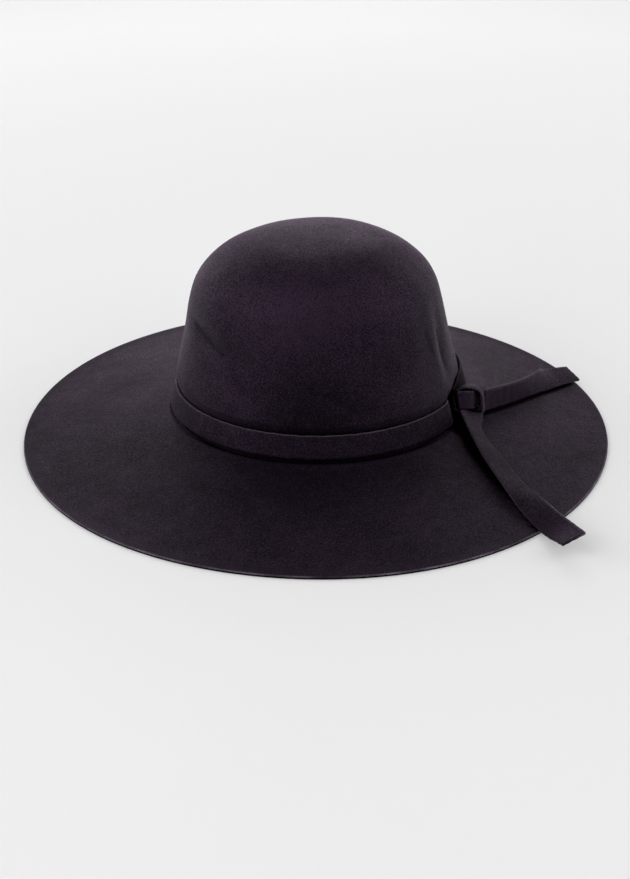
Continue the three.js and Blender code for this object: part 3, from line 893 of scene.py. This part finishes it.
def fuzz(name, grid, weight, count, seed, material):
    """Short wool fibres standing off a grid of rings, in one mesh. Each is a bent cone with three sides,
    whose axis is root + length (lift (t - bend t squared) normal + reach t tangent). Roots are spread by
    the cells' areas times the weight, and a normal that points towards its ring's middle is turned
    round."""
    random = np.random.default_rng(seed)
    near, far = grid[:-1], grid[1:]
    near_next, far_next = np.roll(near, -1, axis=1), np.roll(far, -1, axis=1)
    normal = np.cross(far_next - near, near_next - far)
    area = np.linalg.norm(normal, axis=-1)
    normal /= np.maximum(area, 1e-9)[..., None]
    chance = (area * (weight[:-1] + weight[1:]) / 2).ravel()
    cell = random.choice(chance.size, count, p=chance / chance.sum())
    u, v = random.random((2, count, 1))
    a, b, c, d, normal = (part.reshape(-1, 3)[cell] for part in (near, near_next, far, far_next, normal))
    root = (1 - v) * ((1 - u) * a + u * b) + v * ((1 - u) * c + u * d)
    middle = np.repeat(grid[:-1].mean(axis=1), grid.shape[1], axis=0)[cell]
    normal *= np.where(np.einsum("ij,ij->i", normal, root - middle) < 0, -1, 1)[:, None]
    tangent = unit(np.cross(normal, random.normal(size=(count, 3))))
    side = np.cross(normal, tangent)
    lift = random.uniform(*FIBRE_LIFT, (count, 1))
    length = random.uniform(*FIBRE_LENGTH, (count, 1))
    reach = np.sqrt(1 - lift**2)
    corners = []
    for t, width in FIBRE_RINGS:
        axis = root + length * (lift * (t - FIBRE_BEND * t * t) * normal + reach * t * tangent)
        for turn in (0, 2 * np.pi / 3, 4 * np.pi / 3):
            corners.append(axis + FIBRE_RADIUS * width * (math.cos(turn) * side + math.sin(turn) * normal))
    tip = root + length * (lift * (1 - FIBRE_BEND) * normal + reach * tangent)
    points = np.stack([*corners, tip], axis=1)
    points[..., 2] = np.maximum(points[..., 2], 0)
    first = points.shape[1] * np.arange(count)[:, None, None]
    quads = first + np.array([[0, 1, 4, 3], [1, 2, 5, 4], [2, 0, 3, 5]])
    triangles = first + np.array([[3, 4, 6], [4, 5, 6], [5, 3, 6], [2, 1, 0]])
    faces = quads.reshape(-1, 4).tolist() + triangles.reshape(-1, 3).tolist()
    return outward(mesh_piece(name, points * MM, faces, {}, material))


def band_stations(count):
    """Centre and half-width vector round the hat, from an oval at the band's top and one at its bottom,
    both moved up and out beside the knot, and in at the front end."""
    azimuth = np.radians(np.linspace(BAND_REAR_END, 360 + BAND_FRONT_END, count))
    share = oval_share(azimuth)
    tuck_from = azimuth[-1] - math.radians(BAND_TUCK_SPAN)
    tuck = BAND_TUCK * smoothstep(azimuth, tuck_from, azimuth[-1]) ** 2
    way = np.clip((np.degrees(azimuth) - BAND_REAR_END) / BAND_RISE_SPAN, 0, 1)
    lift = smooth_values(BAND_LIFT, way)
    move = smooth_values(BAND_OUT, way) - tuck
    rings = [
        np.stack([
            level.shift + (level.radius * share + move) * np.cos(azimuth),
            (level.radius * share + move) * np.sin(azimuth),
            level.height + lift,
        ], axis=1)
        for level in (BAND_TOP, BAND_BOTTOM)
    ]
    return (rings[0] + rings[1]) / 2, (rings[0] - rings[1]) / 2


def loop_stations(count):
    """Centre and half-width vector round the loop, from its near edge, which leans back with its height,
    and its far edge, which is squeezed towards the brim and inwards."""
    x, rise = smooth_path(LOOP_PATH, np.linspace(0, 1, count)).T
    foot = sizes().strip_thickness / MM / 2 + SEAT_GAP
    near_y = MOUTH_FOOT_Y + MOUTH_LEAN * rise
    near = np.stack([x, near_y, brim_height(x, np.full(count, MOUTH_FOOT_Y)) + rise], axis=1)
    widest = max(point.x for point in LOOP_PATH)
    start = LOOP_PATH[0].x
    far_x = LOOP_FAR_START_X + (x - start) * (widest - LOOP_FAR_START_X) / (widest - start)
    far_y = near_y + LOOP_DEPTH
    far_rise = foot + (rise - foot) * LOOP_FAR_SQUEEZE
    far = np.stack([far_x, far_y, brim_height(far_x, far_y) + far_rise], axis=1)
    return (near + far) / 2, (near - far) / 2


def core_stations(count):
    """Centre and half-width vector along the folded core: level, leaning back with the loop's mouth."""
    x, y, width, lean = smooth_path(CORE_PATH, np.linspace(0, 1, count)).T
    upward = np.stack([lean, np.full(count, MOUTH_LEAN), np.ones(count)], axis=1)
    upward *= (width / 2 / np.linalg.norm(upward, axis=1))[:, None]
    return np.stack([x, y, np.full(count, CORE_HEIGHT)], axis=1), upward


def tail_stations(path, count):
    """Centre and half-width vector along a tail: level and square to its run, then turned about the run
    by its tilt."""
    share = np.linspace(0, 1, count)
    x, y, lift, tilt = np.array(path, float).T
    centre = smooth_path(np.stack([x, y, brim_height(x, y) + lift], axis=1), share)
    run = unit(np.gradient(centre, axis=0))
    side = unit(np.cross(run, [0, 0, 1]))
    turn = np.radians(smooth_values(tilt, share))[:, None]
    half = sizes().strip_width / MM / 2
    return centre, half * (side * np.cos(turn) + np.cross(side, run) * np.sin(turn))


# Shading

def feed(tree, slot, value):
    """Links a wire to a socket, or gives the socket a plain value."""
    if isinstance(value, Wire):
        tree.links.new(value.socket, slot)
    else:
        slot.default_value = value


class Wire:
    """A node's output, on which arithmetic adds Math nodes."""

    def __init__(self, tree, socket):
        self.tree = tree
        self.socket = socket

    def combine(self, operation, *items, clamp=False):
        """One Math node on wires and numbers."""
        node = self.tree.nodes.new("ShaderNodeMath")
        node.operation = operation
        node.use_clamp = clamp
        for slot, item in zip(node.inputs, items):
            feed(self.tree, slot, item)
        return Wire(self.tree, node.outputs[0])

    def __add__(self, other):
        return self.combine("ADD", self, other)

    def __radd__(self, other):
        return self.combine("ADD", other, self)

    def __sub__(self, other):
        return self.combine("SUBTRACT", self, other)

    def __rsub__(self, other):
        return self.combine("SUBTRACT", other, self)

    def __mul__(self, other):
        return self.combine("MULTIPLY", self, other)

    def __rmul__(self, other):
        return self.combine("MULTIPLY", other, self)

    def clamped(self):
        """The value held between 0 and 1."""
        return self.combine("ADD", self, 0.0, clamp=True)

    def between(self, low, high):
        """0 below low, 1 above high, and straight in between."""
        return ((self - low) * (1 / (high - low))).clamped()


class Finish:
    """A material or a world under construction, with one method for every kind of node but Math."""

    def __init__(self, owner):
        self.owner = owner
        owner.use_nodes = True
        self.tree = owner.node_tree
        self.tree.nodes.clear()

    def node(self, kind, settings, sockets, output=0):
        """Adds a node: its settings first, then values or links for its sockets, by name or number.
        Returns one of its outputs, if it has any."""
        made = self.tree.nodes.new("ShaderNode" + kind)
        for key, value in settings.items():
            setattr(made, key, value)
        for key, value in sockets.items():
            feed(self.tree, made.inputs[key], value)
        return Wire(self.tree, made.outputs[output]) if made.outputs else None

    def colour_mix(self, factor, first, second):
        """first times 1 - factor plus second times factor. A Mix node takes colours at 6 and 7."""
        return self.node("Mix", {"data_type": "RGBA"}, {0: factor, 6: first, 7: second}, output=2)

    def shader_mix(self, factor, first, second):
        """The same for two shaders."""
        return self.node("MixShader", {}, {0: factor, 1: first, 2: second})

    def noise(self, place, grain):
        """Soft noise about 0.5, with the grain's scale, detail and roughness."""
        return self.node("TexNoise", {}, {
            "Vector": place, "Scale": grain.scale, "Detail": grain.detail, "Roughness": grain.roughness,
        })

    def place(self):
        """Where a point is, in the piece's own coordinates."""
        return self.node("TexCoord", {}, {}, "Object")

    def attribute(self, label):
        """A number that the mesh gives each of its points."""
        return self.node("Attribute", {"attribute_name": label}, {}, "Fac")

    def finished(self, surface, output="OutputMaterial"):
        """Ends the tree with its output, and returns the material or the world."""
        self.node(output, {}, {"Surface": surface})
        return self.owner


def rgba(colour, scale=1.0):
    """A colour times a scale, with an alpha of 1."""
    return (*(channel * scale for channel in colour), 1.0)


def felt_finish(name, colour):
    """Brushed wool felt, a mix of two coats: wool whose pile lies flat and dark, and wool whose pile stands
    up and catches grazing light. The mix is by the sum of three noises, the tone attribute, "cut" and
    specks of lint; the tone attribute carries painted light and shade as well as the pile's patches, and
    "cut" a painted highlight at raw edges as well as their own lighter fibres. "shade" is painted shade: it
    mixes both with wool that no light reaches. "cut" also mixes in the raw edge's colour."""
    finish = Finish(bpy.data.materials.new(name))
    place = finish.place()
    patches, cloudy, fine, lint = (finish.noise(place, grain) for grain in (PATCHY, CLOUDY, FINE, LINT))
    nap_and_painted_light, cut, shade = (finish.attribute(label) for label in ("nap_and_painted_light", "cut", "shade"))
    tone = (patches - 0.5) * PATCHY.weight + (cloudy - 0.5) * CLOUDY.weight + (fine - 0.5) * FINE.weight
    tone = tone + nap_and_painted_light + NAP_LEVEL + lint.between(*LINT_SHOWS) * LINT.weight + cut * RAW_EDGE_LIFT
    raw = finish.colour_mix(
        fine.between(*RAW_EDGE_GRAIN), *(rgba(colours().cut_edge_tone_and_highlight, share) for share in RAW_EDGE_SHADES))
    bump = finish.node("Bump", {}, {
        "Height": fine * BUMP_FINE + cloudy * BUMP_CLOUDY, "Strength": 0.6, "Distance": 0.0003,
    })
    coats = [
        finish.node("BsdfPrincipled", {}, {
            "Base Color": finish.colour_mix(cut, rgba(colour, coat.depth), raw),
            "Roughness": 0.55,
            "Normal": bump,
            "Specular IOR Level": coat.gloss,
            "Specular Tint": rgba(colours().fuzz),
            "Sheen Weight": coat.haze,
            "Sheen Roughness": 0.35,
            "Sheen Tint": rgba(colours().fuzz),
        })
        for coat in (FLAT_NAP, RAISED_NAP)
    ]
    # Painted shade: wool that no light reaches, which the shade mark mixes in.
    unlit = finish.node("BsdfPrincipled", {}, {
        "Base Color": rgba(colour, UNLIT_DEPTH), "Roughness": 1.0, "Specular IOR Level": 0.0,
    })
    return finish.finished(finish.shader_mix(shade, finish.shader_mix(tone.clamped(), *coats), unlit))


def body_felt():
    """The crown's and the brim's felt, made once."""
    return bpy.data.materials.get("blocked_felt") or felt_finish("blocked_felt", colours().body)


def strip_felt():
    """The strip's felt, made once."""
    return bpy.data.materials.get("strip_of_felt") or felt_finish("strip_of_felt", colours().strip)


# Pieces

def settle(piece, node):
    """Puts a piece in place of its CAD node, on the hat's one body."""
    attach(piece, "root")
    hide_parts(node)


class CAPELINE_OT_body(bpy.types.Operator):
    """Crown and brim, one blocked piece of felt"""
    bl_idname = "capeline.body"
    bl_label = "Crown and brim"

    def execute(self, context):
        skin, pole, inner_pole, marks, outer_rows = felt_grid()
        piece = capped_tube("crown_and_brim", skin, pole, inner_pole, marks, body_felt())
        settle(piece, "felt_body")
        weight = (1 + EDGE_FIBRES * marks["cut"]) * (1 - marks["shade"])
        weight[outer_rows:] = 0
        hairs = fuzz("crown_and_brim_fuzz", skin, weight, BODY_FIBRES, BODY_FUZZ_SEED, body_felt())
        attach(hairs, "root")
        return {"FINISHED"}


class CAPELINE_OT_band(bpy.types.Operator):
    """The felt strip round the foot of the crown"""
    bl_idname = "capeline.band"
    bl_label = "Band"

    def execute(self, context):
        felt_strip(BAND_STRIP, band_stations(BAND_STRIP.rows))
        return {"FINISHED"}


class CAPELINE_OT_knot(bpy.types.Operator):
    """The strip's loop at the side, and the strip folded inside it"""
    bl_idname = "capeline.knot"
    bl_label = "Knot"

    def execute(self, context):
        felt_strip(LOOP_STRIP, loop_stations(LOOP_STRIP.rows))
        felt_strip(CORE_STRIP, core_stations(CORE_STRIP.rows))
        return {"FINISHED"}


class CAPELINE_OT_tails(bpy.types.Operator):
    """The strip's two free ends, which lie out over the brim"""
    bl_idname = "capeline.tails"
    bl_label = "Tails"

    def execute(self, context):
        felt_strip(FRONT_STRIP, tail_stations(FRONT_TAIL, FRONT_STRIP.rows))
        felt_strip(REAR_STRIP, tail_stations(REAR_TAIL, REAR_STRIP.rows))
        return {"FINISHED"}


def softbox(name, box):
    """A square soft light at the softbox's place on a sphere round the hat, turned to face the target."""
    turn, rise = math.radians(box.azimuth), math.radians(box.elevation)
    direction = (math.cos(rise) * math.sin(turn), math.cos(rise) * math.cos(turn), math.sin(rise))
    place = [SOFTBOX_DISTANCE * part for part in direction]
    lamp = bpy.data.lights.new(name, "AREA")
    lamp.size = SOFTBOX_SIDE
    lamp.energy = box.power
    lamp.color = SOFTBOX_TINT
    holder = bpy.data.objects.new(name, lamp)
    aim = np.subtract(SOFTBOX_TARGET, place)
    across = math.hypot(aim[0], aim[1])
    holder.rotation_euler = (math.atan2(across, -aim[2]), 0, math.atan2(-aim[0], aim[1]))
    holder.location = place
    bpy.context.scene.collection.objects.link(holder)


def pale_floor():
    """The floor's finish. Far out it glows as the backdrop does to the camera, so that the two meet
    unseen: the mix is by the distance from the middle, for camera rays alone."""
    finish = Finish(bpy.data.materials.new("pale_floor"))
    surface = finish.node("BsdfPrincipled", {}, {
        "Base Color": rgba(colours().floor), "Roughness": 0.9, "Specular IOR Level": 0.1,
    })
    distance = finish.node("VectorMath", {"operation": "LENGTH"}, {0: finish.place()}, "Value")
    seen = finish.node("LightPath", {}, {}, "Is Camera Ray")
    glow = finish.node("Emission", {}, {"Color": WHITE, "Strength": BACKDROP_SEEN})
    return finish.finished(finish.shader_mix(distance.between(*FLOOR_FADE) * seen, surface, glow))


def studio_world():
    """White all round: bright to the camera, and next to nothing as a light."""
    finish = Finish(bpy.data.worlds.new("studio"))
    seen = finish.node("LightPath", {}, {}, "Is Camera Ray")
    white = finish.node("Background", {}, {"Color": WHITE, "Strength": seen * BACKDROP_SEEN + AMBIENT})
    return finish.finished(white, "OutputWorld")


class CAPELINE_OT_stage(bpy.types.Operator):
    """Pale floor, softboxes round the hat, and the camera"""
    bl_idname = "capeline.stage"
    bl_label = "Stage"

    def execute(self, context):
        scene = context.scene
        corners = FLOOR_HALF * np.array([[-1, -1, 0], [1, -1, 0], [1, 1, 0], [-1, 1, 0]])
        floor = mesh_piece("floor", corners, [[0, 1, 2, 3]], {}, pale_floor())
        scene.world = studio_world()
        for number, box in enumerate(SOFTBOXES):
            softbox("softbox_%d" % number, box)
        scene.view_settings.view_transform = "Standard"

        lens = bpy.data.cameras.new("camera")
        lens.sensor_width = CAMERA_SENSOR
        lens.lens = CAMERA_LENS
        lens.clip_start = CAMERA_CLIP
        camera = bpy.data.objects.new("camera", lens)
        camera.location = CAMERA_PLACE
        camera.rotation_euler = (math.radians(90 - CAMERA_DOWN), 0, 0)
        scene.collection.objects.link(camera)
        scene.camera = camera
        return {"FINISHED"}


class CAPELINE_PT_panel(bpy.types.Panel):
    """The sizes, the colours, and a button for each operator"""
    bl_label = "Capeline"
    bl_idname = "CAPELINE_PT_panel"
    bl_space_type = "VIEW_3D"
    bl_region_type = "UI"
    bl_category = "Capeline"

    def draw(self, context):
        for group in (context.scene.capeline_sizes, context.scene.capeline_colours):
            for key in group.__annotations__:
                self.layout.prop(group, key)
        for operator in OPERATORS:
            self.layout.operator(operator.bl_idname)


OPERATORS = (
    CAPELINE_OT_stage, CAPELINE_OT_body, CAPELINE_OT_band, CAPELINE_OT_knot, CAPELINE_OT_tails,
)
CLASSES = (CapelineSizes, CapelineColours, *OPERATORS, CAPELINE_PT_panel)


def register():
    for item in CLASSES:
        bpy.utils.register_class(item)
    bpy.types.Scene.capeline_sizes = PointerProperty(type=CapelineSizes)
    bpy.types.Scene.capeline_colours = PointerProperty(type=CapelineColours)


def unregister():
    del bpy.types.Scene.capeline_colours
    del bpy.types.Scene.capeline_sizes
    for item in reversed(CLASSES):
        bpy.utils.unregister_class(item)


def main():
    register()
    bpy.ops.capeline.stage()
    bpy.ops.capeline.body()
    bpy.ops.capeline.band()
    bpy.ops.capeline.knot()
    bpy.ops.capeline.tails()


if __name__ == "__main__":
    main()
